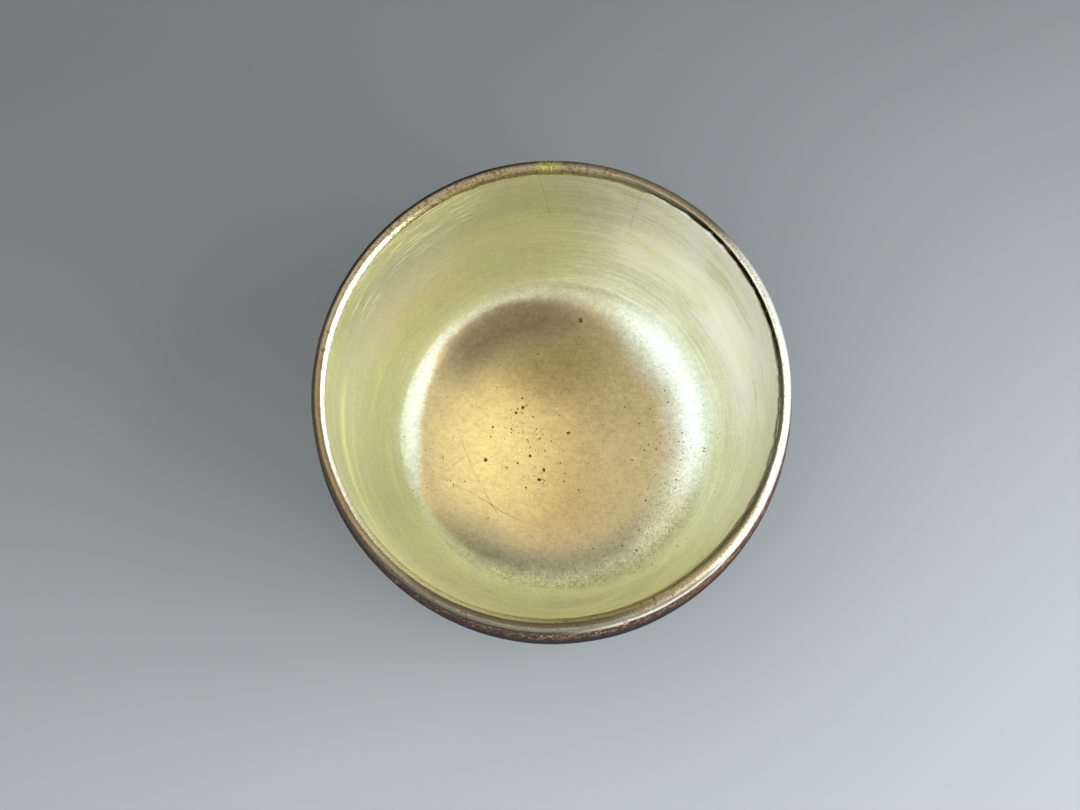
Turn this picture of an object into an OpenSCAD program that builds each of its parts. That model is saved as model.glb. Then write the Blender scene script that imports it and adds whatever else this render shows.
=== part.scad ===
// Matcha bowl: a deep stoneware tea bowl with a turned foot, a dark glaze outside,
// a liner glaze inside, and a silver lining that wraps over the lip.
// Every piece is a body of revolution. One line, the clay skin, runs from the foot up the
// outside, over the lip and down to the middle of the floor, and each coat lies on it.

/* [Bowl] */
// Height from the table to the top of the lip
height = 79; // [66:1:96]
// Outside diameter of the lip, coats included
rim_d = 120; // [100:1:150]
// How far the belly stands out beyond the lip
belly_swell = 1.6; // [0:0.1:6]
// How far below the top of the lip the belly is widest
belly_drop = 22; // [16:1:30]
// How full the turn is from the underside into the wall
hip_fullness = 0.66; // [0.4:0.02:0.8]

/* [Lip] */
// Thickness of the round lip, coats included
lip_w = 3.7; // [3:0.1:5]
// Angle at which the outside leans out below the lip
lip_lean = 7; // [2:1:12]
// How far the silver runs down the outside below the round of the lip
silver_skirt = 2; // [0.5:0.1:4]

/* [Inside] */
// How far the wall draws in from the mouth to the turn into the floor
wall_draw = 11.4; // [8:0.2:16]
// Slope of the inside where the wall turns into the floor
corner_slope = 40; // [30:1:50]
// Height of that turn above the middle of the floor
corner_rise = 4.2; // [3:0.1:6]
// Width of the curve from that turn to the flat of the floor
corner_w = 11.9; // [8:0.1:16]
// How much lower the middle of the floor lies than its edge
floor_dish = 0.3; // [0:0.1:1]
// Thickness of the base above the top of the foot, coats included
base_t = 5; // [4:0.1:8]

/* [Foot] */
// Outside diameter of the foot ring where it stands
foot_d = 60; // [50:1:68]
// Height of the foot ring
foot_h = 6; // [5:0.1:9]
// Width of the foot ring where it stands
foot_w = 5; // [4:0.1:8]
// How much wider each side of the foot ring is at its root
foot_batter = 1; // [0:0.1:2]
// Bevel along the edges that the foot stands on
foot_bevel = 0.8; // [0.4:0.1:1.5]
// Depth of the hollow inside the foot ring
recess_depth = 4.5; // [3:0.1:5.5]
// Width of the bare clay between the foot and the edge of the glaze
bare_w = 9; // [5:0.5:12]
// Slope of that bare clay
bare_slope = 6; // [2:1:12]

/* [Coats] */
// Thickness of the dark glaze on the wall
glaze_t = 0.5; // [0.4:0.05:0.8]
// Thickness of the liner glaze under the silver
liner_t = 0.4; // [0.3:0.05:0.6]
// Thickness of both glazes where they meet on the lip
lip_glaze_t = 0.35; // [0.3:0.05:0.5]
// Height over which both glazes thin towards the lip
thin_zone = 12; // [6:1:20]
// Thickness of the roll at the lower edge of the dark glaze
roll_t = 1.3; // [0.8:0.1:1.8]
// Width of that roll
roll_w = 3; // [2:0.1:5]
// Width of the rounded front of that roll
roll_front = 0.9; // [0.5:0.1:1.5]
// Thickness of the silver
silver_t = 0.25; // [0.2:0.05:0.4]

/* [Hidden] */
$fn = 128;

// Number of spans along each stretch of the clay skin
HIP_SPANS = 28;
SWELL_SPANS = 10;
LIP_SPANS = 7;
WALL_SPANS = 18;
CORNER_SPANS = 10;
FLOOR_SPANS = 3;
// How strongly the points crowd towards the edge of the glaze, for its roll
CROWDING = 2;

rim_r = rim_d / 2;
lip_coat = lip_glaze_t + silver_t;
inside_coat = liner_t + silver_t;

// Clay lip: a round of radius lip_r about lip_mid
lip_r = lip_w / 2 - lip_coat;
lip_mid = [rim_r - lip_w / 2, height - lip_w / 2];
clay_top = lip_mid.y + lip_r;

// Foot and the bare clay around it
foot_r = foot_d / 2;
foot_root = [foot_r + foot_batter, foot_h];
recess_r = foot_r - foot_w;
glaze_edge = foot_root + bare_w * [1, tan(bare_slope)];

// Outside, from the edge of the glaze to the belly and on to the edge of the silver
belly = [rim_r + belly_swell - glaze_t, height - belly_drop];
hip_reach = hip_fullness * (belly.x - glaze_edge.x);
hip_lift = 0.6 * (belly.y - glaze_edge.y);
lean_dir = [-sin(lip_lean), cos(lip_lean)];
lip_start = lip_mid + lip_r * [cos(lip_lean), sin(lip_lean)];
silver_edge = lip_start - silver_skirt * lean_dir;
swell_lift = 0.6 * belly_drop;
lean_lift = 0.3 * belly_drop;

// Inside, from the mouth to the turn into the floor and on to the middle
floor_mid = [0, foot_h + base_t - inside_coat];
mouth = lip_mid - [lip_r, 0];
corner_dir = [cos(corner_slope), sin(corner_slope)];
corner = [mouth.x - wall_draw, floor_mid.y + corner_rise];
wall_fall = 0.5 * (mouth.y - corner.y);
corner_reach = 10;
corner_pull = 0.42 * corner_w;
floor_edge = [corner.x - corner_w, floor_mid.y + floor_dish];

// Points of a cubic curve from a to d, with handles b and c; crowding above 1 packs
// them towards a
function curve(a, b, c, d, spans, crowding = 1) = [
    for (i = [0 : spans])
        let (t = pow(i / spans, crowding), s = 1 - t)
            s * s * s * a + 3 * s * s * t * b + 3 * s * t * t * c + t * t * t * d
];

// Points of an arc about mid, from angle a0 to angle a1
function arc(mid, r, a0, a1, spans) = [
    for (i = [0 : spans])
        let (a = a0 + (a1 - a0) * i / spans)
            mid + r * [cos(a), sin(a)]
];

// A list without its first point, for joining stretches end to end
function rest(points) = [for (i = [1 : len(points) - 1]) points[i]];

hip_line = curve(
    glaze_edge,
    glaze_edge + hip_reach * [cos(bare_slope), sin(bare_slope)],
    belly - [0, hip_lift],
    belly,
    HIP_SPANS,
    CROWDING
);
swell_line = curve(
    belly,
    belly + [0, swell_lift],
    silver_edge - lean_lift * lean_dir,
    silver_edge,
    SWELL_SPANS
);
wall_line = curve(
    mouth,
    mouth - [0, wall_fall],
    corner + corner_reach * corner_dir,
    corner,
    WALL_SPANS
);
corner_line = curve(
    corner,
    corner - corner_pull * corner_dir,
    floor_edge + [corner_pull, 0],
    floor_edge,
    CORNER_SPANS
);
floor_line = curve(
    floor_edge,
    floor_edge - [floor_edge.x / 3, 0],
    floor_mid + [floor_edge.x / 3, 0],
    floor_mid,
    FLOOR_SPANS
);

// The clay skin, and the places on it where a coat starts or ends
skin = concat(
    [foot_root],
    hip_line,
    rest(swell_line),
    arc(lip_mid, lip_r, lip_lean, 90, LIP_SPANS),
    rest(arc(lip_mid, lip_r, 90, 180, LIP_SPANS)),
    rest(wall_line),
    rest(corner_line),
    rest(floor_line)
);
AT_GLAZE_EDGE = 1;
AT_SILVER_EDGE = AT_GLAZE_EDGE + HIP_SPANS + SWELL_SPANS;
AT_CREST = AT_SILVER_EDGE + 1 + LIP_SPANS;
AT_MIDDLE = len(skin) - 1;

// Outward direction at a point of the skin
function outward(i) =
    i == AT_MIDDLE ? [0, 1] :
    i == AT_CREST ? [0, 1] :
    let (d = skin[i + 1] - skin[i - 1])
        [d.y, -d.x] / norm(d);

// Length of the skin from its start to each of its points
skin_run = [
    for (i = 0, s = 0; i < len(skin); s = s + norm(skin[min(i + 1, AT_MIDDLE)] - skin[i]), i = i + 1) s
];

// Thickness of a glaze that is body_t thick on the wall and thins towards the lip
function thinned(i, body_t) =
    lip_glaze_t + (body_t - lip_glaze_t) * min(1, (clay_top - skin[i].y) / thin_zone);

// Thickness of the dark glaze, with the roll at its lower edge
function dark_glaze(i) =
    let (s = skin_run[i] - skin_run[AT_GLAZE_EDGE])
    let (roll = (roll_t - glaze_t) * exp(-pow(s / roll_w, 2)))
    let (front = min(1, s / roll_front))
        sqrt(1 - pow(1 - front, 2)) * (thinned(i, glaze_t) + roll);

// Thickness of whichever glaze lies under the silver
function under_silver(i) = i <= AT_CREST ? dark_glaze(i) : thinned(i, liner_t);

// Point at a height above the skin
function above_skin(i, t) = skin[i] + t * outward(i);

module turned() {
    rotate_extrude()
        children();
}

module clay_body() {
    foot = [
        [0, recess_depth],
        [recess_r - foot_batter, recess_depth],
        [recess_r, foot_bevel],
        [recess_r + foot_bevel, 0],
        [foot_r - foot_bevel, 0],
        [foot_r, foot_bevel]
    ];
    color([0.43, 0.33, 0.26])
        turned()
            polygon(concat(foot, skin));
}

module liner_glaze() {
    upper = [for (i = [AT_CREST : AT_MIDDLE]) above_skin(i, under_silver(i))];
    lower = [for (i = [AT_MIDDLE : -1 : AT_CREST]) skin[i]];
    color([0.80, 0.79, 0.72])
        turned()
            polygon(concat(upper, lower));
}

module outer_glaze() {
    upper = [for (i = [AT_GLAZE_EDGE : AT_CREST]) above_skin(i, dark_glaze(i))];
    lower = [for (i = [AT_CREST : -1 : AT_GLAZE_EDGE + 1]) skin[i]];
    color([0.10, 0.06, 0.05])
        turned()
            polygon(concat(upper, lower));
}

module silver_lining() {
    upper = [for (i = [AT_SILVER_EDGE : AT_MIDDLE]) above_skin(i, under_silver(i) + silver_t)];
    lower = [for (i = [AT_MIDDLE : -1 : AT_SILVER_EDGE]) above_skin(i, under_silver(i))];
    color([0.80, 0.80, 0.66])
        turned()
            polygon(concat(upper, lower));
}

clay_body();
liner_glaze();
outer_glaze();
silver_lining();
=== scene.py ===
# %% [markdown]
# # A silver-lined tea bowl
# This lesson builds the looks of a thrown stoneware tea bowl in Blender. The bowl is turned on a
# wheel, glazed dark outside and pale inside, and then silvered inside and over the lip.
# The imported model comes first, as a frame whose sizes the pieces here follow.

# %% Load the frame
import math

import bpy
import numpy as np
from mathutils import Matrix, Vector


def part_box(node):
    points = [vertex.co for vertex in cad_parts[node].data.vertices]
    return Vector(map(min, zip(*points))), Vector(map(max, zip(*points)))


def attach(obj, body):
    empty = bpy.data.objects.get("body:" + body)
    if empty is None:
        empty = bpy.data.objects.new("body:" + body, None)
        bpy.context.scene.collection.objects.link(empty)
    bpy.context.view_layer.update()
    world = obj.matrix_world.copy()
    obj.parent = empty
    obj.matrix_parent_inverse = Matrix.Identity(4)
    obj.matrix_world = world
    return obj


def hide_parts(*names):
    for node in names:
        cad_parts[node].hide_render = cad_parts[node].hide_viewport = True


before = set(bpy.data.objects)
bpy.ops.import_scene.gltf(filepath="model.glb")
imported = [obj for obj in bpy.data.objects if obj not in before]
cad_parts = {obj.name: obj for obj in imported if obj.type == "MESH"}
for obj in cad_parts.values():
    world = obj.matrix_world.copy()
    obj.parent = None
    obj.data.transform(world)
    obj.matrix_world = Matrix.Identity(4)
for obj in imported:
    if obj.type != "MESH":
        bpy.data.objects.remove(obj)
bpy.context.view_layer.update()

MM = 0.001

# %% [markdown]
# ## The line that everything follows
# One line runs from the root of the foot up the outside, over the lip and down to the middle of
# the floor. It is the skin of the clay, and each coat lies on it. The coats could be drawn one by
# one, but then they would cross or gape, so they all share this line. The heights and radii at
# its ends are read off the frame, and the rest are the sizes that the frame was drawn with.

# %% Sizes, in mm, read off the frame
top_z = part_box("silver_lining")[1][2] / MM
belly_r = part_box("outer_glaze")[1][0] / MM
floor_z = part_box("liner_glaze")[0][2] / MM
print(f"top {top_z:.2f}, belly radius {belly_r:.2f}, floor {floor_z:.2f} mm")

# %% Sizes that the frame was drawn with, in mm and degrees
SILVER, LINER = 0.25, 0.4
LIP_GLAZE, WALL_GLAZE = 0.35, 0.5
THIN_ZONE = 12
LIP_ROUND, LIP_LEAN, SILVER_SKIRT = 1.25, 7, 2
BELLY_SWELL, BELLY_DROP, HIP_FULLNESS = 1.6, 22, 0.66
BARE_W, BARE_SLOPE = 9, 6
WALL_DRAW, CORNER_SLOPE, CORNER_RISE, CORNER_W = 11.4, 40, 4.2, 11.9
FLOOR_DISH = 0.3

lip_r = LIP_ROUND + LIP_GLAZE + SILVER
lip_mid = np.array([belly_r - BELLY_SWELL - lip_r, top_z - lip_r])
print(f"lip of radius {lip_r:.2f} mm about {lip_mid.round(2)}")
belly = np.array([belly_r - WALL_GLAZE, top_z - BELLY_DROP])
foot_root = np.array([31.0, 6.0])
glaze_edge = foot_root + BARE_W * np.array([1, math.tan(math.radians(BARE_SLOPE))])


# %% Curves
def way(degrees):
    """A step of length 1 at this angle above the outward direction."""
    return np.array([math.cos(math.radians(degrees)), math.sin(math.radians(degrees))])


def cubic(a, b, c, d, count=200):
    """Points of a cubic curve from a to d with handles b and c: each is weighted by its
    Bernstein polynomial of t, as t runs from 0 to 1."""
    t = np.linspace(0, 1, count)[:, None]
    u = 1 - t
    return u**3 * a + 3 * u * u * t * b + 3 * u * t * t * c + t**3 * d


lean = way(90 + LIP_LEAN)
silver_edge = lip_mid + LIP_ROUND * way(LIP_LEAN) - SILVER_SKIRT * lean
mouth = lip_mid - [LIP_ROUND, 0]
floor_mid = np.array([0, floor_z])
corner = np.array([mouth[0] - WALL_DRAW, floor_z + CORNER_RISE])
floor_edge = np.array([corner[0] - CORNER_W, floor_z + FLOOR_DISH])
down = np.array([0, -1.0])

bare = foot_root + np.linspace(0, 1, 60)[:, None] * (glaze_edge - foot_root)
hip_out = HIP_FULLNESS * (belly[0] - glaze_edge[0]) * way(BARE_SLOPE)
hip_lift = 0.6 * (belly[1] - glaze_edge[1])
hip = cubic(glaze_edge, glaze_edge + hip_out, belly + hip_lift * down, belly)
belly_up, edge_down = 0.6 * BELLY_DROP, 0.3 * BELLY_DROP
swell = cubic(belly, belly - belly_up * down, silver_edge - edge_down * lean, silver_edge)
turn = np.radians(np.linspace(LIP_LEAN, 180, 120))[:, None]
lip = lip_mid + LIP_ROUND * np.hstack([np.cos(turn), np.sin(turn)])
fall = 0.5 * (mouth[1] - corner[1])
wall = cubic(mouth, mouth + fall * down, corner + 10 * way(CORNER_SLOPE), corner)
pull = 0.42 * CORNER_W
bend = cubic(corner, corner - pull * way(CORNER_SLOPE), floor_edge + [pull, 0], floor_edge)
third = np.array([floor_edge[0] / 3, 0])
dish = cubic(floor_edge, floor_edge - third, floor_mid + third, floor_mid)
skin = np.vstack([bare[:-1], hip, swell[1:], lip, wall[1:], bend[1:], dish[1:]])
print("points on the clay skin:", len(skin))

# %% [markdown]
# A surface that is turned is easiest to describe by how far along the line a point lies, the
# run, and by how far round the bowl it is, the angle. So the line is measured once, with its
# outward direction, and any run can then be looked up.

# %% Measure the line
strides = np.diff(skin, axis=0)
run = np.concatenate([[0], np.cumsum(np.hypot(*strides.T))])
away = np.gradient(skin, run, axis=0)[:, ::-1] * [1, -1]
away /= np.hypot(*away.T)[:, None]
away[-1] = [0, 1]


def run_at(point):
    """The run of the place on the line that lies nearest to a point."""
    return run[np.argmin(np.hypot(*(skin - point).T))]


GLAZE, BELLY, EDGE = map(run_at, (glaze_edge, belly, silver_edge))
CREST, MOUTH = run_at(lip_mid + [0, LIP_ROUND]), run_at(mouth)
CORNER, FLOOR, MIDDLE = map(run_at, (corner, floor_edge, floor_mid))
print("runs in mm:", np.round([GLAZE, BELLY, EDGE, CREST, MOUTH, CORNER, FLOOR, MIDDLE], 1))

# %% [markdown]
# ## The hand in the shape
# Nothing thrown by hand is a perfect turning. The wall keeps the faint spiral that the fingers
# left, and the rim is pressed in a little on one side. Both are worked out once, as amounts that
# depend on run and angle, and all the coats take them, so that they stay nested.

# %% Unevenness
AROUND = 420  # points in each turn
GROOVE_PITCH = 6.2  # mm from one throwing groove to the next
angle = np.arange(AROUND) * 2 * math.pi / AROUND


def ripple(at, seed, low, high):
    """A wavy amount round the bowl, between about -1 and 1 and without a seam: a sum of cosines
    with low to high waves in a turn, each with a seeded size and start."""
    rng = np.random.default_rng(seed)
    waves = np.arange(low, high + 1)
    size = rng.uniform(0.4, 1, len(waves)) / waves**0.5
    start = rng.uniform(0, 2 * math.pi, len(waves))
    total = (size * np.cos(at[..., None] * waves + start)).sum(-1)
    return total / np.sqrt((size**2).sum()) / 1.6


def rise(x, low, high):
    """0 below low, 1 above high, and a smooth S between: 3t^2 - 2t^3."""
    t = np.clip((x - low) / (high - low), 0, 1)
    return t * t * (3 - 2 * t)


def throwing_marks(s, a):
    """How far the clay lies within its true line: a spiral of shallow grooves, a cosine of run
    plus angle, deeper outside than inside and absent from the lip, the foot and the floor."""
    outer_wall = rise(s, GLAZE + 5, GLAZE + 16) * (1 - rise(s, EDGE - 12, EDGE - 3))
    inner_wall = rise(s, MOUTH + 5, MOUTH + 16) * (1 - rise(s, CORNER - 10, CORNER))
    slow = 0.75 + 0.25 * ripple(a, 3, 1, 4)
    grooves = 0.5 - 0.5 * np.cos(2 * math.pi * s / GROOVE_PITCH + a + 0.8 * ripple(a, 4, 1, 3))
    return slow * grooves * (0.16 * outer_wall + 0.07 * inner_wall)


def pressed(r, z, a):
    """The rim out of round: the radius shrinks towards one side, as a bell curve of the
    angle, and more with height."""
    turned_by = (a + math.radians(12) + math.pi) % (2 * math.pi) - math.pi
    dent = 0.42 * np.exp(-((turned_by / math.radians(30)) ** 2))
    dent = dent + 0.05 * (1 + ripple(a, 5, 2, 5))
    return r - dent * rise(z, 15, top_z) * rise(r, 10, 50)


rim_in = lip_mid[0] - pressed(lip_mid[0], top_z, angle)
print(f"the rim is pressed in by {rim_in.min():.2f} to {rim_in.max():.2f} mm")


def on_skin(s, a, t):
    """Radius and height of the point at run s and angle a that lies t above the clay: the
    line's point, plus t less the throwing marks along its outward direction."""
    r, z, out_r, out_z = (np.interp(s, run, v) for v in (*skin.T, *away.T))
    lift = t - throwing_marks(s, a)
    r, z = r + lift * out_r, z + lift * out_z
    return np.maximum(pressed(r, z, a), 0), z


# %% [markdown]
# ## Turning a grid into a mesh
# Every coat is a closed shell. Its cross-section goes round in rows, and each row goes round the
# bowl. A Screw modifier would turn a section too, but only a grid lets each angle have a section
# of its own. Where a section starts and ends on the axis, its end rows become single points, so
# the poles are closed. The signed volume says whether the faces point outwards.

# %% A lathe
def make_mesh(name, points, faces):
    """A smooth mesh object at the origin, from points in mm and a list of face arrays."""
    mesh = bpy.data.meshes.new(name)
    mesh.from_pydata((points * MM).tolist(), [], [f for part in faces for f in part.tolist()])
    mesh.polygons.foreach_set("use_smooth", np.ones(len(mesh.polygons), bool))
    mesh.update()
    piece = bpy.data.objects.new(name, mesh)
    bpy.context.scene.collection.objects.link(piece)
    return piece


def signed_volume(points, faces):
    """The sum, over the triangles of all faces, of the volume between each and the origin."""
    corners = [points[f] for f in faces]
    return sum(
        np.einsum("ij,ij->i", f[:, 0], np.cross(f[:, k], f[:, k + 1])).sum() / 6
        for f in corners
        for k in range(1, f.shape[1] - 1)
    )


def turned(name, r, z, poles=True):
    """A shell from rows of radii and heights. Row i and angle a give the point
    (r cos a, r sin a, z). With poles the first and last rows lie on the axis and shrink to
    points, and without them the last row joins the first."""
    ends = [[0, 0, z[0].mean()], [0, 0, z[-1].mean()]]
    if poles:
        r, z = r[1:-1], z[1:-1]
    points = np.stack([r * np.cos(angle), r * np.sin(angle), z], -1).reshape(-1, 3)
    here = np.arange(len(points)).reshape(r.shape)
    beside = np.roll(here, -1, axis=1)
    above, across = np.roll(here, -1, axis=0), np.roll(beside, -1, axis=0)
    quads = np.stack([here, above, across, beside], -1)
    faces = [(quads[:-1] if poles else quads).reshape(-1, 4)]
    if poles:
        first, last = np.full((2, AROUND), len(points)) + [[0], [1]]
        points = np.vstack([points, ends])
        faces.append(np.stack([first, here[0], beside[0]], -1))
        faces.append(np.stack([here[-1], last, beside[-1]], -1))
    volume = signed_volume(points, faces)
    if volume < 0:
        faces = [f[:, ::-1] for f in faces]
    piece = make_mesh(name, points, faces)
    triangles = sum(len(f) * (f.shape[1] - 2) for f in faces)
    print(f"{name}: {abs(volume):.0f} mm3, {triangles} triangles")
    return piece


def shell(name, s, top, under, poles=True):
    """A coat as a closed shell: out along its upper side and back along its underside, which is
    hidden and has half the rows. The thicknesses above the clay, top and under, are
    functions of run and angle."""
    back = np.vstack([s[:-1:2], s[-1:]])[::-1]
    if not poles:
        back = back[:-1]
    upper, lower = (
        on_skin(at, angle + 0 * at, thickness(at, angle + 0 * at))
        for at, thickness in ((s, top), (back, under))
    )
    r, z = (np.vstack(pair) for pair in zip(upper, lower))
    return turned(name, r, z, poles)


def rows(*stretches):
    """Runs, one column for each angle: each stretch (from, to, count) is evenly spaced, and its
    ends may vary round the bowl."""
    spans = [
        start + (stop - start) * np.linspace(0, 1, count, endpoint=False)[:, None] + 0 * angle
        for start, stop, count in stretches
    ]
    return np.vstack([*spans, stretches[-1][1] + 0 * angle])


# %% [markdown]
# ## The glazes
# A glaze is poured on as a slip and melts in the kiln. It thins to almost nothing over a lip,
# creeps down the wall, and stops in a thick roll where the potter wiped the clay clean. The dark
# coat has that roll, which wanders up and down, and soft ridges where it ran. Sculpting could
# make them, but a thickness that depends on run and angle can be read and changed.

# %% Dark glaze
def thinned(s, body):
    """A glaze body mm thick on the wall that thins evenly to LIP_GLAZE in the thin zone."""
    below_top = lip_mid[1] + LIP_ROUND - np.interp(s, run, skin[:, 1])
    return LIP_GLAZE + (body - LIP_GLAZE) * np.clip(below_top / THIN_ZONE, 0, 1)


# Each drip: its direction in degrees, its reach in mm, and its width in degrees
DRIPS = [(202, 2.3, 5), (236, 1.1, 4), (318, 2.6, 6), (352, 1.0, 4), (48, 1.8, 5), (118, 1.3, 4)]
front = GLAZE + 0.4 + 0.9 * ripple(angle, 11, 2, 9)
for degrees, reach, width in DRIPS:
    apart = (np.degrees(angle) - degrees + 180) % 360 - 180
    front = front - reach * np.exp(-((apart / width) ** 2))


def dark_thickness(s, a):
    """Thickness of the dark glaze: a rounded front, a roll that fades over 3 mm and is fuller
    in a drip, and the wall's own thickness with ridges that run down it."""
    start = np.interp(a, angle, front, period=2 * math.pi)
    into = np.maximum(s - start, 0)
    nose = np.sqrt(1 - (1 - np.minimum(into / 1.1, 1)) ** 2)
    full = 0.8 + 0.3 * rise(GLAZE - start, 0, 2)
    low_wall = rise(s, GLAZE, GLAZE + 14) * (1 - rise(s, BELLY - 10, BELLY))
    ridges = 0.10 * ripple(a, 12, 9, 34) * low_wall
    return nose * (thinned(s, WALL_GLAZE) + full * np.exp(-((into / 3.2) ** 2)) + ridges)


def bare_clay(s, a):
    """Nothing above the clay."""
    return 0 * s


dark_rows = rows(
    (front, GLAZE + 5, 34),
    (GLAZE + 5, GLAZE + 24, 30),
    (GLAZE + 24, EDGE - 3, 52),
    (EDGE - 3, CREST, 26),
)
dark_coat = shell("dark_glaze_coat", dark_rows, dark_thickness, bare_clay, poles=False)


# %% Liner glaze
def liner_thickness(s, a):
    """Thickness of the pale glaze that the silver lies on."""
    return thinned(s, LINER)


liner_rows = rows((MIDDLE, FLOOR, 10), (FLOOR, CORNER, 14), (CORNER, MOUTH, 34), (MOUTH, CREST, 10))
liner_coat = shell("liner_glaze_coat", liner_rows, liner_thickness, bare_clay)

# %% [markdown]
# ## The silver
# The silver is laid over both glazes, down the inside and over the lip, and ends outside in an
# edge that wanders, because it was brushed or laid by hand. It is built as the glazes are, as a
# thickness on top of whatever lies under it, so that it can't sink in or float. It is a little
# dented on the lip and softly dappled on the floor.

# %% Silver lining
edge_run = EDGE + 0.45 * ripple(angle, 21, 2, 9) + 0.3 * ripple(angle, 22, 18, 70)


def dapple(s, a, seed, wavelength):
    """A soft bumpiness between about -1 and 1: a sum of flat waves in random directions, taken
    at the point's place in space, so that it has no seam."""
    rng = np.random.default_rng(seed)
    r, z = np.interp(s, run, skin[:, 0]), np.interp(s, run, skin[:, 1])
    total = 0 * r
    for _ in range(14):
        heading = rng.normal(size=3)
        heading /= np.linalg.norm(heading)
        phase = rng.uniform(0, 2 * math.pi)
        along = heading[0] * r * np.cos(a) + heading[1] * r * np.sin(a) + heading[2] * z
        total = total + np.cos(2 * math.pi * along / (wavelength * rng.uniform(0.8, 1.3)) + phase)
    return total / 5


def under_silver(s, a):
    """Thickness of whichever glaze lies under the silver: the dark one as far as the crest of
    the lip, and the liner from there on."""
    return np.where(s < CREST, dark_thickness(s, a), liner_thickness(s, a))


def silver_top(s, a):
    """Top of the silver: the glaze, plus the silver, which thins to a third at its edge, with
    dents of a few hundredths on the lip and the floor."""
    start = np.interp(a, angle, edge_run, period=2 * math.pi)
    coat = SILVER * (0.35 + 0.65 * rise(s - start, 0, 0.8))
    over_lip = rise(s, EDGE, CREST - 1) * (1 - rise(s, MOUTH, MOUTH + 6))
    pressed_in = -0.035 * over_lip * np.maximum(1 + dapple(s, a, 31, 5.5), 0)
    dappled = 0.02 * rise(s, CORNER - 4, FLOOR) * dapple(s, a, 32, 7)
    return under_silver(s, a) + coat + pressed_in + dappled


silver_rows = rows(
    (MIDDLE, FLOOR, 34),
    (FLOOR, CORNER, 26),
    (CORNER, MOUTH + 4, 50),
    (MOUTH + 4, CREST, 22),
    (CREST, EDGE + 1, 14),
    (EDGE + 1, edge_run, 6),
)
silver_coat = shell("silver_coat", silver_rows, silver_top, under_silver)

# %% [markdown]
# ## The clay
# Only the foot and the clay around it show. The foot was cut from the leather-hard bowl with a
# looped tool, which leaves fine rings on the underside and a spiral in the hollow. So the
# section of the foot is a line with softened corners, and the tool marks are added to it.

# %% Foot
HOLLOW_Z = 4.5
foot = [[0, HOLLOW_Z], [24, HOLLOW_Z], [24.9, 0.9], [25.8, 0], [29.2, 0], [30, 0.8]]
foot = np.array([*foot, foot_root])
softness = np.array([0, 1.6, 0.4, 0.5, 0.5, 0.4, 0])


def softened(line, soft, count=7):
    """A line with its corners cut round: each corner becomes a quadratic curve between the
    points that lie soft mm before and after it."""
    out = [line[:1]]
    t = np.linspace(0, 1, count)[:, None]
    for before, at, after, size in zip(line, line[1:], line[2:], soft[1:]):
        a = at + size * (before - at) / np.linalg.norm(before - at)
        b = at + size * (after - at) / np.linalg.norm(after - at)
        out.append((1 - t) ** 2 * a + 2 * t * (1 - t) * at + t * t * b)
    return np.vstack([*out, line[-1:]])


def evenly(line, spacing):
    """Points along a line, spacing mm apart, with both its ends."""
    along = np.concatenate([[0], np.cumsum(np.hypot(*np.diff(line, axis=0).T))])
    at = np.linspace(0, along[-1], round(along[-1] / spacing) + 1)
    return np.stack([np.interp(at, along, line[:, 0]), np.interp(at, along, line[:, 1])], -1)


foot_line = evenly(softened(foot, softness), 0.42)
foot_r, foot_z = (np.repeat(v[:, None], AROUND, 1) for v in foot_line.T)
in_hollow = (foot_z > 3) & (foot_r < 25)

# %% Tool marks and wear on the foot
swirl_zone = rise(foot_r, 0.3, 3) * (1 - rise(foot_r, 19, 23))
swirl = 0.22 * np.cos(2 * math.pi * foot_r / 3.4 - angle) * swirl_zone
pip = 0.5 * np.exp(-((foot_r / 1.6) ** 2))
foot_z = foot_z - in_hollow * (swirl + pip)
worn = 0.10 * (1 + np.maximum(ripple(angle, 41, 3, 24), -1)) * (1 - rise(foot_z, 0.0, 1.2))
foot_z = foot_z + worn * ~in_hollow
foot_r = foot_r + 0.10 * ripple(angle, 42, 2, 14) * rise(foot_r, 20, 24)
print("the foot stands at", round(float(foot_z.min()), 3), "mm")


# %% Clay body
def trimmed(s, a):
    """Fine rings left by the trimming tool on the bare clay: a cosine of run, 1.2 mm apart,
    that fades out at the foot and under the glaze."""
    shown = rise(s, 0, 1.5) * (1 - rise(s, GLAZE + 1, GLAZE + 3))
    return -0.05 * shown * (1 + np.cos(2 * math.pi * s / 1.2 + a + ripple(a, 43, 2, 6)))


clay_rows = rows(
    (0, GLAZE + 3, 30), (GLAZE + 3, EDGE, 22), (EDGE, MOUTH, 10), (MOUTH, MIDDLE, 44)
)[1:]
round_it = angle + 0 * clay_rows
body_r, body_z = on_skin(clay_rows, round_it, trimmed(clay_rows, round_it))
clay = turned("clay_body_turned", np.vstack([foot_r, body_r]), np.vstack([foot_z, body_z]))

# %% [markdown]
# ## Crumbs of tea
# A little powdered tea stays in the bowl as dust and crumbs. Each crumb is a small lumpy solid,
# so it casts its own shadow. A particle system could strew them, but a seeded draw is the same
# each time: most lie in loose clusters, and the few big ones are placed one by one.

# %% Crumbs
rng = np.random.default_rng(7)
floor_runs = np.linspace(MIDDLE, CORNER - 6, 400)
floor_line = np.stack(on_skin(floor_runs, 0 * floor_runs, LINER + SILVER))
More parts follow.
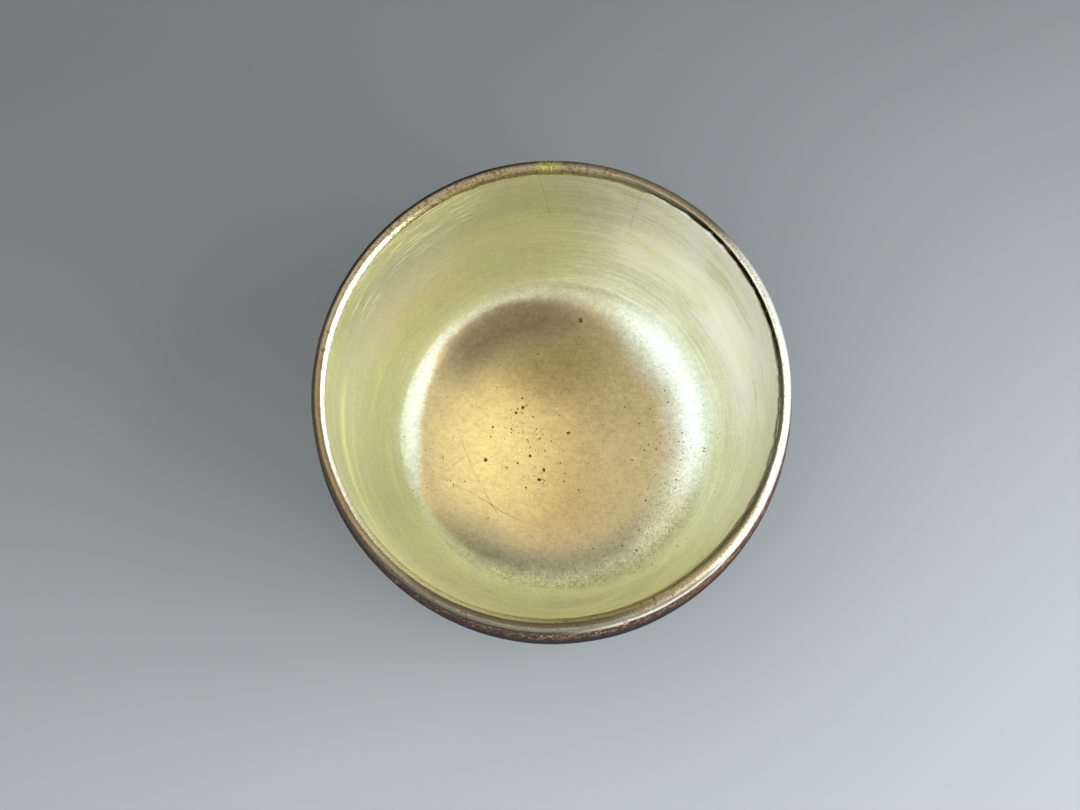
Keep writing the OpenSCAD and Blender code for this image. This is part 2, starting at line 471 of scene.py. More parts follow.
# Each big crumb: x, y and its radius. Each cluster: its middle, its spread and its count.
BIG = [
    (-9.7, 8.2, 0.62), (-11.6, 6.6, 0.48), (-9.8, 11.0, 0.34), (-20.3, -7.2, 0.55),
    (3.4, 0.7, 0.5), (-3.6, -10.3, 0.42), (-5.0, -13.0, 0.5), (7.2, 34.0, 0.6),
    (-18.4, 2.4, 0.36), (-7.5, -6.0, 0.4),
]
CLUSTERS = [
    ((-9, 2), 5, 34), ((-4, -8), 7, 40), ((-30, -13), 5, 12),
    ((37, -4), 9, 70), ((24, -30), 8, 60), ((0, 0), 26, 60),
]
LAST_CRUMB = 49  # no crumb lies farther from the axis
spots = [np.array(BIG)]
for middle, spread, count in CLUSTERS:
    size = 0.13 + 0.16 * rng.random(count) ** 3
    spots.append(np.column_stack([rng.normal(middle, spread, (count, 2)), size]))
spots = np.vstack(spots)
spots = spots[np.hypot(spots[:, 0], spots[:, 1]) < LAST_CRUMB]


def lump():
    """The corners and faces of a twenty-sided ball of radius 1: three golden rectangles."""
    g = (1 + 5**0.5) / 2
    flat = np.array([[-1, g, 0], [1, g, 0], [-1, -g, 0], [1, -g, 0]])
    corners = np.vstack([flat, flat[:, [2, 0, 1]], flat[:, [1, 2, 0]]])
    faces = "0b5 051 017 07a 0ab 159 5b4 ba2 a76 718 394 342 326 368 389 495 24b 62a 867 981"
    faces = np.array([[int(c, 16) for c in f] for f in faces.split()])
    return corners / np.linalg.norm(corners[0]), faces


ball, ball_faces = lump()
if signed_volume(ball, [ball_faces]) < 0:
    ball_faces = ball_faces[:, ::-1]
crumb_x, crumb_y, size = spots.T
crumb_z = np.interp(np.hypot(crumb_x, crumb_y), *floor_line) + 0.3 * size
rough = 1 + 0.28 * rng.normal(size=(len(spots), len(ball), 1))
points = ball * rough * size[:, None, None] * [1, 1, 0.7]
points = points + np.stack([crumb_x, crumb_y, crumb_z], -1)[:, None]
faces = ball_faces + len(ball) * np.arange(len(spots))[:, None, None]
crumbs = make_mesh("tea_crumbs", points.reshape(-1, 3), [faces.reshape(-1, 3)])
print("crumbs:", len(spots), "from", round(size.min(), 2), "to", round(size.max(), 2), "mm")

# %% [markdown]
# ## Shader maths as Python
# A material is a graph of nodes, and reads more easily as a formula. A Wire holds one socket, so
# that adding or multiplying wires adds the Math nodes that do it. One method makes any other
# node: its settings are set first, and then its inputs are given values or joined to wires.

# %% Wires
class Wire:
    """One output socket of a material's nodes."""

    def __init__(self, tree, socket):
        self.tree, self.socket = tree, socket

    def node(self, kind, settings, inputs, out=0):
        """A node of this kind with these settings and inputs, as the wire of one output."""
        made = self.tree.nodes.new(kind)
        for name, value in settings.items():
            setattr(made, name, value)
        for key, value in inputs.items():
            if isinstance(value, Wire):
                self.tree.links.new(value.socket, made.inputs[key])
            else:
                made.inputs[key].default_value = value
        return Wire(self.tree, made.outputs[out])

    def maths(self, operation, a, b=0.0):
        """A Math node of this operation on a and b."""
        return self.node("ShaderNodeMath", {"operation": operation}, {0: a, 1: b})

    def __add__(self, other):
        return self.maths("ADD", self, other)

    def __mul__(self, other):
        return self.maths("MULTIPLY", self, other)

    def __sub__(self, other):
        return self.maths("SUBTRACT", self, other)

    def __rsub__(self, other):
        return self.maths("SUBTRACT", other, self)

    def __truediv__(self, other):
        return self.maths("DIVIDE", self, other)

    def __pow__(self, other):
        return self.maths("POWER", self, other)

    __radd__, __rmul__ = __add__, __mul__


# %% Words for patterns
def ease(x, low, high):
    """0 where x is below low and 1 above high, with a smooth S between."""
    settings = {"interpolation_type": "SMOOTHSTEP"}
    return x.node("ShaderNodeMapRange", settings, {"Value": x, "From Min": low, "From Max": high})


def scaled(place, by):
    """A place with each of its coordinates multiplied."""
    return place.node("ShaderNodeVectorMath", {"operation": "MULTIPLY"}, {0: place, 1: by})


def rotated(place, degrees, axis=(0, 0, 1)):
    """A place turned about an axis through the origin."""
    inputs = {"Vector": place, "Axis": axis, "Angle": math.radians(degrees)}
    return place.node("ShaderNodeVectorRotate", {}, inputs)


def noise(place, per_metre, detail=2.0, roughness=0.5, warp=0.0):
    """Cloudy values about 0, mostly between -0.5 and 0.5."""
    inputs = {"Vector": place, "Scale": per_metre, "Detail": detail}
    inputs.update({"Roughness": roughness, "Distortion": warp})
    return place.node("ShaderNodeTexNoise", {}, inputs) - 0.5


def dots(place, per_metre, size, share):
    """1 in small round dots: one at the middle of each of a share of a pattern's cells."""
    settings = {"voronoi_dimensions": "3D"}
    inputs = {"Vector": place, "Scale": per_metre}
    distance = place.node("ShaderNodeTexVoronoi", settings, inputs, 0)
    colour = place.node("ShaderNodeTexVoronoi", settings, inputs, 1)
    chance = place.node("ShaderNodeSeparateColor", {}, {0: colour}, 0)
    return (1 - ease(distance, size * 0.6, size)) * ease(chance, 1 - share, 1.01 - share)


def blend(mask, a, b):
    """Colour a where the mask is 0, b where it is 1."""
    return mask.node("ShaderNodeMix", {"data_type": "RGBA"}, {0: mask, 6: a, 7: b}, 2)


def layered(base, *coats):
    """A colour with others laid over it in turn, each where its mask is 1."""
    for mask, colour in coats:
        base = blend(mask, base, colour)
    return base


def shaded(colour, by):
    """A colour made lighter or darker by a factor."""
    return by.node("ShaderNodeVectorMath", {"operation": "SCALE"}, {0: colour, "Scale": by})


def seen(red, green, blue):
    """A colour from how it looks on a screen, 0 to 255, as the linear values that nodes take."""
    shares = np.array([red, green, blue]) / 255
    linear = np.where(shares <= 0.04045, shares / 12.92, ((shares + 0.055) / 1.055) ** 2.4)
    return (*linear.tolist(), 1.0)


def finish(name, **values):
    """A new material: its Principled shader with these plain values, and the place on the
    object, in metres."""
    material = bpy.data.materials.new(name)
    material.use_nodes = True
    tree = material.node_tree
    shader = tree.nodes["Principled BSDF"]
    for socket, value in values.items():
        shader.inputs[socket.replace("_", " ")].default_value = value
    coordinates = tree.nodes.new("ShaderNodeTexCoord")
    return material, shader, Wire(tree, coordinates.outputs["Object"])


def wear(shader, height=None, strength=0.5, depth=1.0, **looks):
    """Joins wires to the shader's sockets, and a height in mm to its normal through a bump."""
    for socket, wire in looks.items():
        wire.tree.links.new(wire.socket, shader.inputs[socket.replace("_", " ")])
    if height:
        inputs = {"Strength": strength, "Distance": depth * MM, "Height": height}
        bump = height.node("ShaderNodeBump", {}, inputs)
        bump.tree.links.new(bump.socket, shader.inputs["Normal"])


def in_mm(place):
    """The place's x, y and z, and how far it is from the axis, all in mm."""
    place_mm = scaled(place, (1 / MM, 1 / MM, 1 / MM))
    x, y, z = (place.node("ShaderNodeSeparateXYZ", {}, {0: place_mm}, i) for i in range(3))
    return x, y, z, (x * x + y * y + 0.01) ** 0.5


# %% [markdown]
# ## Silver, tarnished and dusted
# Silver is bright only where it is rubbed. On the floor it has tarnished to gold and olive, and a
# ring of clean metal is left where the floor turns up. The gold is painted brightest on the left as
# a painted light pool, greyer arcs at two sides are painted dark reflections, and the ring is
# painted whiter on the right as a painted reflection. A film of tea dust covers the wall. Each
# could be a material of its own, but the borders between them are soft and ragged, so they are
# masks on one metal, worked out from the place on the bowl.

# %% Place and clouds
silver, metal, place = finish("silver_finish")
x, y, z, r = in_mm(place)
side, far = x / r, y / r
cloud = noise(place, 60, 3)
patchy = noise(place, 220, 4, 0.6)
mottled = noise(place, 760, 3, 0.6)
grain = noise(place, 2300, 3, 0.7)


# %% Where on the bowl
def toward(degrees, low, high):
    """1 on the side of the bowl in this direction and 0 elsewhere: the cosine of the angle
    away from it, eased from low to high. 0 degrees is right, and 90 is the far side."""
    heading = math.radians(degrees)
    return ease(side * math.cos(heading) + far * math.sin(heading), low, high)


def spot(at_x, at_y, wide, deep, soft=0.45):
    """A soft oval on the floor: 1 at its middle, 0 outside."""
    u, v = (x - at_x) / wide, (y - at_y) / deep
    return 1 - ease((u * u + v * v) ** 0.5 + cloud * 0.5 + grain * 0.12, 1 - soft, 1 + soft)


def away_from(value, middle):
    """How far a value is from a middle one."""
    return ((value - middle) * (value - middle)) ** 0.5


# %% Creases
def leaf(degrees):
    """Fine creases in one direction, as in beaten silver leaf."""
    return noise(scaled(rotated(place, degrees), (0.14, 1, 0.6)), 2100, 2, 0.6, 0.3)


def wrinkle(per_metre, width, turned_by):
    """Thin wandering lines, as in crumpled foil: 1 where a cloudy pattern crosses its middle."""
    clouds = noise(rotated(place, turned_by), per_metre, 3, 0.6, 1.2)
    return 1 - ease(away_from(clouds, 0), 0, width)


creases = leaf(38) + leaf(-34) + leaf(82) + leaf(5)
foil = wrinkle(620, 0.05, 20) + wrinkle(950, 0.06, 75) + wrinkle(1400, 0.07, 130)
print("nodes for the creases:", len(silver.node_tree.nodes))

# %% Masks of ring, film and lip
right_side = toward(6, 0.3, 0.95)
near_right = toward(-72, 0.45, 0.9)
far_right = toward(62, 0.66, 1.0)
inner = 42.2 - 7.0 * right_side - 2.4 * toward(172, 0.85, 0.98) - 1.4 * near_right
inner = inner - 2.6 * far_right
soft = 1.3 + 4.8 * right_side + 1.6 * near_right + 1.8 * far_right
ragged = creases * 0.45 + foil * 0.5 + patchy * 3
ragged = ragged * (0.25 + right_side * 0.2 + near_right * 0.4)
ring = ease(r + cloud * 4 + ragged, inner - soft, inner + soft)

film_low = 44.6 + cloud * 1.6 + patchy * 1.2 + grain * 0.4
gentle = toward(-20, 0.1, 0.9)
film = ease(r, film_low - 0.5 - 1.2 * gentle, film_low + 0.5 + 2.4 * gentle)

film_top = 77.4 + patchy * 1.4 + 0.8 * toward(14, 0.3, 0.8) - 4.5 * toward(-90, 0.5, 0.95)
outside = ease(r, lip_mid[0] + 0.3, lip_mid[0] + 0.9)
on_lip = ease(z + outside * 10, film_top - 0.25, film_top + 0.25)
film = film * (1 - on_lip)

# %% Colours of the floor
# Painted dark reflections: greyer arcs at the far and near sides of the floor.
painted_dark_arc_far = ease(r + cloud * 4 + patchy * 4, 23, 35) * toward(114, 0.68, 0.98)
painted_dark_arc_near = ease(r + cloud * 4 + patchy * 4, 29, 38) * toward(274, 0.42, 0.92)
tarnish_and_painted_light = layered(
    seen(191, 165, 114),  # gold
    # painted light: a pool that makes the gold brightest on the left
    (spot(-24, -7, 20, 20, 0.8), seen(240, 210, 144)),  # brightest on the left
    (spot(5, 24, 19, 11, 0.7) * 0.9, seen(154, 136, 86)),  # olive at the far side
    # painted shade: the gold duller on the right
    (spot(23, 0, 14, 26, 0.7) * 0.75, seen(190, 170, 126)),  # duller on the right
    (ease(r, 20, 38) * 0.35, seen(194, 182, 154)),  # a grey veil towards the ring
    (painted_dark_arc_far * 0.95, seen(132, 115, 88)),
    (painted_dark_arc_near * 0.95, seen(150, 143, 116)),
)
clean_metal_and_painted_glint = layered(
    seen(190, 187, 158),
    # painted reflection: the ring near white on the right
    (toward(20, 0.55, 0.97), seen(226, 235, 229)),
    (toward(235, 0.6, 0.95), seen(212, 210, 176)),
    (toward(168, 0.72, 0.95), seen(202, 206, 186)),
)
floor_colour = blend(ring, tarnish_and_painted_light, clean_metal_and_painted_glint)

# %% Light and dark on the floor
speckle = dots(place, 900, 0.3, 0.18)
satin = noise(scaled(rotated(place, 4), (0.16, 1, 1)), 1500, 3, 0.6)
floor_shade = 1 + grain * 0.5 + satin * 0.28 + mottled * 0.5
floor_shade = floor_shade + creases * (0.1 + ring * 0.12) + patchy * 0.25
crumpled = ring * (right_side * 0.3 + near_right * 0.8) + painted_dark_arc_near * 0.5 + 0.3
floor_shade = floor_shade + (foil * 0.23 - 0.11) * crumpled
# Painted shade: the floor darker towards the far right, away from its middle.
painted_shade_far_right = 0.17 * toward(65, 0.1, 0.85) * ease(r, 4, 14) * (1 - ring)
floor_colour = shaded(floor_colour, floor_shade - painted_shade_far_right - speckle * 0.15)
print("nodes with the floor:", len(silver.node_tree.nodes))

# %% [markdown]
# Dust is laid on by hand and by washing, so its marks run round the wall. Noise that is squeezed
# sideways makes them: the flatter it is squeezed, the longer the streaks. Broad clouds beneath
# them change the tint, and one swipe and a patch of combed lines are where something rubbed. A
# whitish patch on the upper right wall is a painted sheen.

# %% Brush marks on the wall
brushed = noise(scaled(place, (0.03, 0.03, 1)), 1900, 3, 0.65)
hairline = noise(scaled(place, (0.02, 0.02, 1)), 4200, 2, 0.6)
broad = noise(scaled(place, (0.1, 0.1, 1)), 170, 2, 0.5)
bloom = noise(scaled(place, (0.5, 0.5, 1)), 75, 3, 0.55)
wiped = noise(scaled(rotated(place, 14, (1, 0.7, 0)), (0.05, 0.05, 1)), 2300, 1, 0.4)
combed = ease(wiped, 0.085, 0.12) * toward(134, 0.88, 0.96) * ease(z + cloud * 20, 52, 60)
swipe = 1 - ease(away_from(z + brushed * 3 + cloud * 6, 55), 0.6, 4)
swipe = swipe * toward(200, 0.85, 0.95)
swipe = swipe + ease(broad + brushed * 0.4, 0.06, 0.18) * toward(185, 0.5, 0.9) * 0.4
rosy = toward(150, 0.78, 0.97) * ease(z + cloud * 20, 26, 42) * (1 - ease(z, 58, 72))
# A whitish painted sheen on the upper right wall.
painted_sheen = toward(28, 0.82, 0.98) * ease(broad + brushed * 0.6 + cloud, -0.1, 0.2)
painted_sheen = painted_sheen * ease(z, 24, 50)

# %% Colours of the film
foot_of_wall = 1 - ease(away_from(z, 20), 2, 7)
dust_and_painted_light = layered(
    seen(188, 190, 145),  # dry green, away from the light
    # painted light: the right wall near white, partly thinner dust and partly bounced light
    (toward(26, -0.3, 0.85), seen(252, 255, 250)),
    (toward(118, 0.55, 0.97) * 0.9, seen(198, 192, 142)),
    (toward(76, 0.85, 0.98) * 0.2, seen(222, 214, 150)),
    (toward(-30, 0.78, 0.97) * 0.6, seen(222, 228, 176)),
    (foot_of_wall * toward(20, 0.2, 0.8) * 0.5, seen(218, 224, 188)),
    # painted light: the near wall lighter
    (toward(-95, 0.4, 0.97) * 0.9, seen(236, 233, 186)),
    (ease(bloom, 0.0, 0.2) * 0.45 * (1 - toward(20, 0.2, 0.9)), seen(196, 188, 158)),
    (ease(0 - bloom, 0.02, 0.22) * 0.4, seen(196, 204, 134)),
    (rosy * 0.55, seen(194, 186, 166)),
    (swipe * 0.8, seen(212, 220, 156)),
    (combed * 0.85, seen(255, 250, 200)),
    (painted_sheen * 0.45, seen(255, 255, 252)),
)

# %% Light and dark on the film
# Painted shade on the upper far wall, the upper near-right wall and the upper left wall, and a
# painted lighter band round the upper right wall.
painted_shade_and_light = 0.28 * ease(z, 34, 60) * toward(112, 0.4, 0.9)
painted_shade_and_light = painted_shade_and_light + 0.3 * ease(z, 40, 54) * toward(-60, 0.93, 0.99)
painted_shade_and_light = painted_shade_and_light + 0.13 * ease(z, 52, 66) * toward(180, 0.7, 0.95)
painted_shade_and_light = painted_shade_and_light - 0.2 * (1 - ease(away_from(z, 39), 4, 16)) * toward(42, 0.8, 0.97)
streaky = toward(35, 0.1, 0.9) * 0.55 + 0.25
streaks = (brushed * 0.7 + hairline * 0.9 + broad * 0.2) * streaky
dust_shade = 1 + streaks + grain * 0.3 + mottled * 0.3 + cloud * 0.1 + patchy * 0.16
dust_and_painted_light = shaded(dust_and_painted_light, dust_shade - painted_shade_and_light - speckle * 0.08 * toward(0, 0.4, 0.9))
inside = blend(film, floor_colour, dust_and_painted_light)
print("nodes with the film:", len(silver.node_tree.nodes))

# %% [markdown]
# A scratch is a thin arc. Three points give its circle, and the mask is thin where the distance
# from the circle's middle is the radius, within reach of the middle point.


# %% Scratches
def scratch(a, b, c, reach, width=0.2):
    """1 on the arc through three points of the floor, within reach mm of the second."""
    (ax, ay), (cx, cy) = np.subtract(a, b), np.subtract(c, b)
    twice = 2 * (ax * cy - ay * cx)
    aa, cc = ax * ax + ay * ay, cx * cx + cy * cy
    mid_x, mid_y = (cy * aa - ay * cc) / twice, (ax * cc - cx * aa) / twice
    u, v = x - (b[0] + mid_x), y - (b[1] + mid_y)
    off = (u * u + v * v) ** 0.5 - math.hypot(mid_x, mid_y) + patchy * 0.5
    line = 1 - ease(away_from(off, 0), width * 0.35, width)
    p, q = x - b[0], y - b[1]
    return line * (1 - ease((p * p + q * q) ** 0.5, reach * 0.8, reach))


def hair(at_x, slope):
    """1 on a thin line that runs down the far wall from this x at the lip."""
    return 1 - ease(away_from(x + (76 - z) * slope + patchy * 1.1, at_x), 0.05, 0.2)


lines = scratch((-29, 3), (-23, -12), (-18, -21), 15)
lines = lines + scratch((-19, -20), (-11, -24.5), (1, -26), 11)
lines = lines + scratch((-34, -12), (-25, -16.5), (-14, -23), 11)
lines = lines + scratch((-26, -6), (-29.5, -8.5), (-33, -11.5), 4.5)
lines = lines + scratch((-31, 18), (-24, 26), (-14, 30), 9, 0.12)
hairs = hair(-3, -0.07) + hair(23, 0.07)
hairs = hairs * ease(far, 0.6, 0.8) * ease(z, 40, 50) * ease(grain + cloud, -0.4, -0.05)
marks = lines * (1 - ring) * ease(grain + patchy, -0.15, 0.1) + hairs * film * 0.6
inside = shaded(inside, 1 - marks * 0.34)

# %% [markdown]
# The lip is handled most. Its crown is rubbed, its outer side is tarnished brown, and small
# dark stains gather along it. Painted highlights lie on the inner side at the left and on the
# crown, outer side and hem at the right, and painted dark reflections lie on the crown at the left
# and near side and in a thin dark line where the dust film ends on the right. It is cut into strips
# by how
# far out across the lip a place lies: -1 inside, 0 at the crest, 1 outside.

# %% Strips of the lip
out = (r - lip_mid[0] + patchy * 0.3) / lip_r
inner_side = 1 - ease(out, -0.5, -0.25)
outer_side = ease(out, 0.2, 0.6)
hem_side = ease(out, 0.72, 0.95)
# A dark line just inside the lip: a painted dark reflection on the right, and a stain line on the
# far side.
painted_dark_line_and_stain = 1 - ease(away_from(out, -0.52), 0.15, 0.36)
painted_dark_line_and_stain = painted_dark_line_and_stain * (toward(8, 0.25, 0.8) + toward(100, 0.7, 0.95) * 0.5)
# Painted dark reflection: a thin dark line where the dust film ends, on the right.
painted_dark_edge = (1 - ease(away_from(z, film_top), 0.15, 0.6)) * toward(20, -0.2, 0.6)
painted_dark_edge = painted_dark_edge * (1 - outside)
stained = 0.08 * toward(122, 0.5, 0.9) - 0.05 * toward(190, 0.2, 0.8)
stain = ease(patchy * 0.5 + noise(place, 900, 3, 0.65) + stained, 0.07, 0.2)
powder = spot(-0.5, 58.5, 3.2, 2, 0.3) * ease(grain + patchy * 0.4, -0.05, 0.03)
powder = powder * (1 - hem_side)

# %% Colours of the lip
# The lip's inner side is tan, painted near white on the left as a painted highlight.
inner_tan_and_painted_highlight = layered(
    seen(172, 156, 112),
    (toward(200, 0.2, 0.8), seen(232, 222, 166)),
    (toward(176, 0.6, 0.95), seen(246, 240, 216)),
    (toward(20, 0.2, 0.8), seen(184, 182, 150)),
)
# The crown is rubbed metal, painted bright on the right as a painted highlight and darker on the
# left and near side as painted dark reflections.
crown_with_painted_light = layered(
    seen(156, 140, 110),
    (toward(8, 0.76, 0.94), seen(232, 228, 208)),
    (toward(195, 0.8, 0.98), seen(130, 108, 80)),
    (toward(262, 0.7, 0.97), seen(90, 78, 58)),
)
# The outer side is tarnished brown, near black towards the upper left, and painted near white on
# the right as a painted highlight.
outer_brown_and_painted_light = layered(
    seen(112, 96, 74),
    (toward(-85, 0.4, 0.92), seen(148, 142, 124)),
    (toward(125, 0.7, 0.97), seen(22, 16, 10)),
    (toward(-4, 0.64, 0.84), seen(252, 250, 244)),
)
# The hem is dark brown, painted bright on the near right as a painted highlight.
hem_and_painted_highlight = blend(toward(-50, 0.76, 0.96), seen(48, 32, 18), seen(232, 224, 206))
lip_colour = layered(
    crown_with_painted_light,
    (inner_side, inner_tan_and_painted_highlight),
    (outer_side, outer_brown_and_painted_light),
    (hem_side, hem_and_painted_highlight),
    (painted_dark_line_and_stain * (1 - 0.15 * toward(-35, 0.6, 0.95)), seen(20, 14, 4)),
    (stain * 0.7, seen(96, 72, 44)),
    (powder, seen(172, 168, 76)),
)
lip_colour = shaded(lip_colour, 1 + grain * 0.6 + patchy * 0.3 - painted_dark_edge * 0.28)

# %% Join the silver
shine = 0.8 - (0.5 + 0.2 * right_side) * film
shine = shine + (0.2 - 0.3 * outer_side - 0.35 * hem_side) * on_lip
roughness = 0.40 + 0.10 * film - 0.15 * on_lip + grain * 0.12 + brushed * 0.1 * film
roughness = roughness + (stain * 0.2 + hem_side * 0.3) * on_lip
relief = (creases * 0.6 + foil * ring * 0.25) * (1 - film) + grain * 0.4
relief = relief + brushed * film * 0.7 + patchy * on_lip
wear(
    metal,
    Base_Color=blend(on_lip, shaded(inside, 1 - painted_dark_edge * film * 0.25), lip_colour),
    Metallic=shine,
    Roughness=roughness,
    height=relief,
    strength=0.45,
    depth=0.08,
)
print("nodes in the silver:", len(silver.node_tree.nodes))

# %% [markdown]
# ## Dark glaze
# An iron glaze is black where it lies thick, and breaks to rust and tan where it thins over a
# lip. So its colour follows the height below the silver, stirred by two sizes of mottling, and
# its lower roll has a thin amber line where it stops. The rust is painted darker on the left as
# painted shade.

# %% Dark glaze finish
dark, glass, place = finish("dark_glaze_finish", IOR=1.45, Specular_IOR_Level=0.25)
x, y, z, r = in_mm(place)
mottle = noise(place, 420, 4, 0.65, 0.8)
fleck = noise(place, 1500, 2, 0.6)
streak = noise(scaled(place, (1, 1, 0.12)), 260, 3, 0.6)
near_side = ease(0 - y / r, 0.35, 0.8)
painted_shade_left = ease(0 - x / r, 0.35, 0.95)
rust_and_painted_shade = layered(
    seen(60, 32, 18),
    (ease(mottle + fleck * 0.6, -0.08, 0.16), seen(128, 88, 54)),
    (ease(fleck + mottle * 0.5 + near_side * 0.05, 0.13, 0.25) * 0.9, seen(214, 192, 160)),
)
# painted shade: the rust is darker on the left
rust_and_painted_shade = shaded(rust_and_painted_shade, 1 - 0.6 * painted_shade_left)
roll = 1 - ease(z, 6.4, 9.5)
deep = layered(
    seen(17, 10, 8),
    (ease(streak + mottle * 0.4, 0.0, 0.3) * 0.6, seen(50, 24, 13)),
    (dots(place, 330, 0.2, 0.35) * 0.5, seen(92, 56, 30)),
    (roll * ease(mottle, -0.1, 0.3), seen(96, 50, 24)),
)
thin = 1 - ease(top_z - z + mottle * 4 + streak * 9, 5, 15)
wear(
    glass,
    Base_Color=blend(thin * ease(mottle + streak + 0.25 * thin, -0.14, 0.1), deep, rust_and_painted_shade),
    Roughness=0.30 + 0.45 * ease(z, 44, 60) + mottle * 0.1,
    height=mottle * 0.5 + streak * 0.6,
    strength=0.25,
    depth=0.15,
)
print("nodes in the dark glaze:", len(dark.node_tree.nodes))

# %% [markdown]
# ## Pale liner glaze, stoneware and tea
# The liner lies wholly under the silver, but it gets its own crackled white all the same: the
# edges of a cell pattern are a net of fine cracks. The stoneware is a warm brown clay with grit
# in it, flushed where the glaze stops and rubbed paler where the foot stands. The crumbs are
# powdered green tea that has dried.

# %% Liner glaze finish
pale, milk_glass, place = finish("liner_glaze_finish")
to_edge = {"feature": "DISTANCE_TO_EDGE"}
cells = place.node("ShaderNodeTexVoronoi", to_edge, {"Vector": place, "Scale": 160.0})
crackle = 1 - ease(cells, 0.0, 0.05)
milk = layered(
    seen(214, 210, 194),
    (ease(noise(place, 90, 3), -0.2, 0.2), seen(226, 224, 212)),
    (crackle * 0.6, seen(150, 132, 104)),
)
wear(milk_glass, Base_Color=milk, Roughness=0.2 + crackle * 0.2)
print("nodes in the liner glaze:", len(pale.node_tree.nodes))

# %% Stoneware finish
stone, body, place = finish("stoneware_finish")
x, y, z, r = in_mm(place)
haze = noise(place, 70, 3, 0.6)
grit = noise(place, 1100, 4, 0.7)
worn_foot = 1 - ease(z + grit * 0.8, 0.1, 0.7)
clay_colour = layered(
    seen(126, 98, 74),
    (ease(haze + grit * 0.3, -0.2, 0.25), seen(156, 126, 98)),
    (ease(r + haze * 6, 34, 41) * 0.8, seen(140, 82, 52)),  # flushed beside the glaze
    (dots(place, 520, 0.28, 0.4), seen(196, 178, 150)),  # pale grit
    (dots(scaled(place, (1.3, 1.3, 1.3)), 430, 0.22, 0.35), seen(60, 42, 30)),  # dark grit
    (worn_foot * 0.55, seen(120, 104, 88)),
)
wear(
    body,
    Base_Color=clay_colour,
    Roughness=0.82 - worn_foot * 0.2 + grit * 0.15,
    height=grit + haze * 0.5,
    strength=0.6,
    depth=0.25,
)
print("nodes in the stoneware:", len(stone.node_tree.nodes))

# %% Tea finish
tea, dull, place = finish("tea_finish")
shade = noise(place, 700, 3, 0.6)
leafy = blend(ease(shade, -0.2, 0.2), seen(52, 66, 26), seen(96, 116, 44))
wear(dull, Base_Color=leafy, Roughness=0.9 + shade * 0.1, height=shade, strength=0.6, depth=0.2)

# %% Dress the pieces
for piece, material, node, slot in (
    (clay, stone, "clay_body", "stoneware"),
    (liner_coat, pale, "liner_glaze", "liner_glaze"),
    (dark_coat, dark, "outer_glaze", "dark_glaze"),
    (silver_coat, silver, "silver_lining", "silver"),
):
    piece.data.materials.append(material)
    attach(piece, "root")
    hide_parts(node)
crumbs.data.materials.append(tea)
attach(crumbs, "root")
print("finishes:", [m.name for m in bpy.data.materials])

# %% [markdown]
# ## Table, light and camera
# The bowl stands on a pale grey table, whose colour is painted darker towards the far left and
# lighter towards the near right, as a painted light falloff. One wide soft light stands to the
# right, like a tall window. The walls of the room are dim and warm on the left and its ceiling is
# bright there, so that the silver has something to reflect. The camera looks down, a little from
# the front.

# %% Table
def flat_sheet(name, half, z):
    """A square sheet, half mm to each side of the middle, at height z."""
    at = np.array([[-half, -half, z], [half, -half, z], [half, half, z], [-half, half, z]], float)
    return make_mesh(name, at, [np.array([[0, 1, 2, 3]])])


TABLE_HALF = 2500
table = flat_sheet("table", TABLE_HALF, 0)
table_finish, surface, place = finish("table_finish", Specular_IOR_Level=0.15)
x, y, z, r = in_mm(place)
# Painted light falloff: the table darker towards the far left and lighter towards the near right.
painted_light_falloff = ease(x * 0.3 - y + noise(place, 9, 2) * 20, -190, 190)
table_tone_with_painted_falloff = blend(painted_light_falloff, seen(100, 103, 105), seen(160, 165, 168))
wear(surface, Base_Color=table_tone_with_painted_falloff, Roughness=0.6 + noise(place, 400, 3) * 0.1)
table.data.materials.append(table_finish)


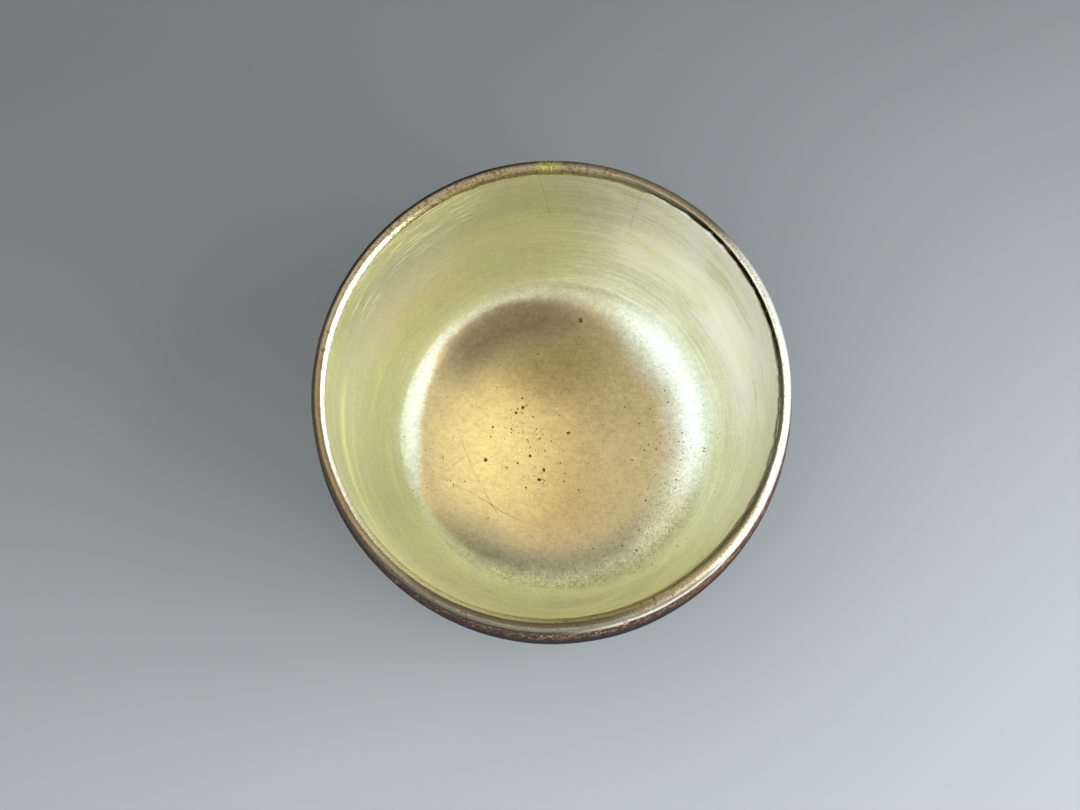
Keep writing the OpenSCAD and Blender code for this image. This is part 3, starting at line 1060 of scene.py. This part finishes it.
# %% Lamps
def soft_lamp(name, elevation, azimuth, far_off, size, watts, colour):
    """A square lamp far_off metres away in a direction, facing the bowl."""
    lamp = bpy.data.lights.new(name, "AREA")
    lamp.size, lamp.energy, lamp.color = size, watts, colour
    piece = bpy.data.objects.new(name, lamp)
    bpy.context.scene.collection.objects.link(piece)
    e, a = math.radians(elevation), math.radians(azimuth)
    outward = Vector((math.cos(e) * math.cos(a), math.cos(e) * math.sin(a), math.sin(e)))
    piece.location = outward * far_off
    piece.rotation_euler = outward.to_track_quat("Z", "Y").to_euler()
    print(f"{name}: {watts} W, {size} m across, {far_off} m away")


DAYLIGHT = (0.96, 1.0, 1.0)
soft_lamp("window", elevation=31, azimuth=-14, far_off=1.2, size=1.15, watts=23, colour=DAYLIGHT)

# %% Room
room = bpy.data.worlds.new("room")
bpy.context.scene.world = room
room.use_nodes = True
tree = room.node_tree
direction = Wire(tree, tree.nodes.new("ShaderNodeTexCoord").outputs["Generated"])
across, along, upward = (
    direction.node("ShaderNodeSeparateXYZ", {}, {0: direction}, i) for i in range(3)
)
walls = blend(ease(across, -0.9, 0.3), (0.06, 0.05, 0.04, 1), (0.60, 0.64, 0.67, 1))
leftward = ease(0 - across * 0.94 - along * 0.34, -0.5, 0.5)
ceiling = blend(leftward, (0.45, 0.46, 0.47, 1), (2.0, 2.05, 2.02, 1))
glow = blend(ease(upward, 0.42, 0.72), walls, ceiling)
tree.links.new(glow.socket, tree.nodes["Background"].inputs["Color"])
print("nodes in the room:", len(tree.nodes))
bpy.context.scene.view_settings.view_transform = "Standard"

# %% Camera
view = bpy.data.cameras.new("camera")
view.lens, view.sensor_width = 54.07, 36
view.clip_start = 0.01
CAMERA_TILT, CAMERA_SWING, CAMERA_FAR = 10.8, 9, 401.6  # degrees, degrees and mm
camera = bpy.data.objects.new("camera", view)
bpy.context.scene.collection.objects.link(camera)
tilt, swing = math.radians(CAMERA_TILT), math.radians(CAMERA_SWING)
lean_x, lean_y = math.sin(swing) * math.sin(tilt), -math.cos(swing) * math.sin(tilt)
back = Vector((lean_x, lean_y, math.cos(tilt)))
aim = Vector((-2.67, -3.9, top_z)) * MM
camera.location = aim + back * CAMERA_FAR * MM
rightward = Vector((0, 1, 0)).cross(back).normalized()
up = back.cross(rightward)
camera.rotation_euler = Matrix((rightward, up, back)).transposed().to_euler()
bpy.context.scene.camera = camera
print("camera", (camera.location / MM)[:])
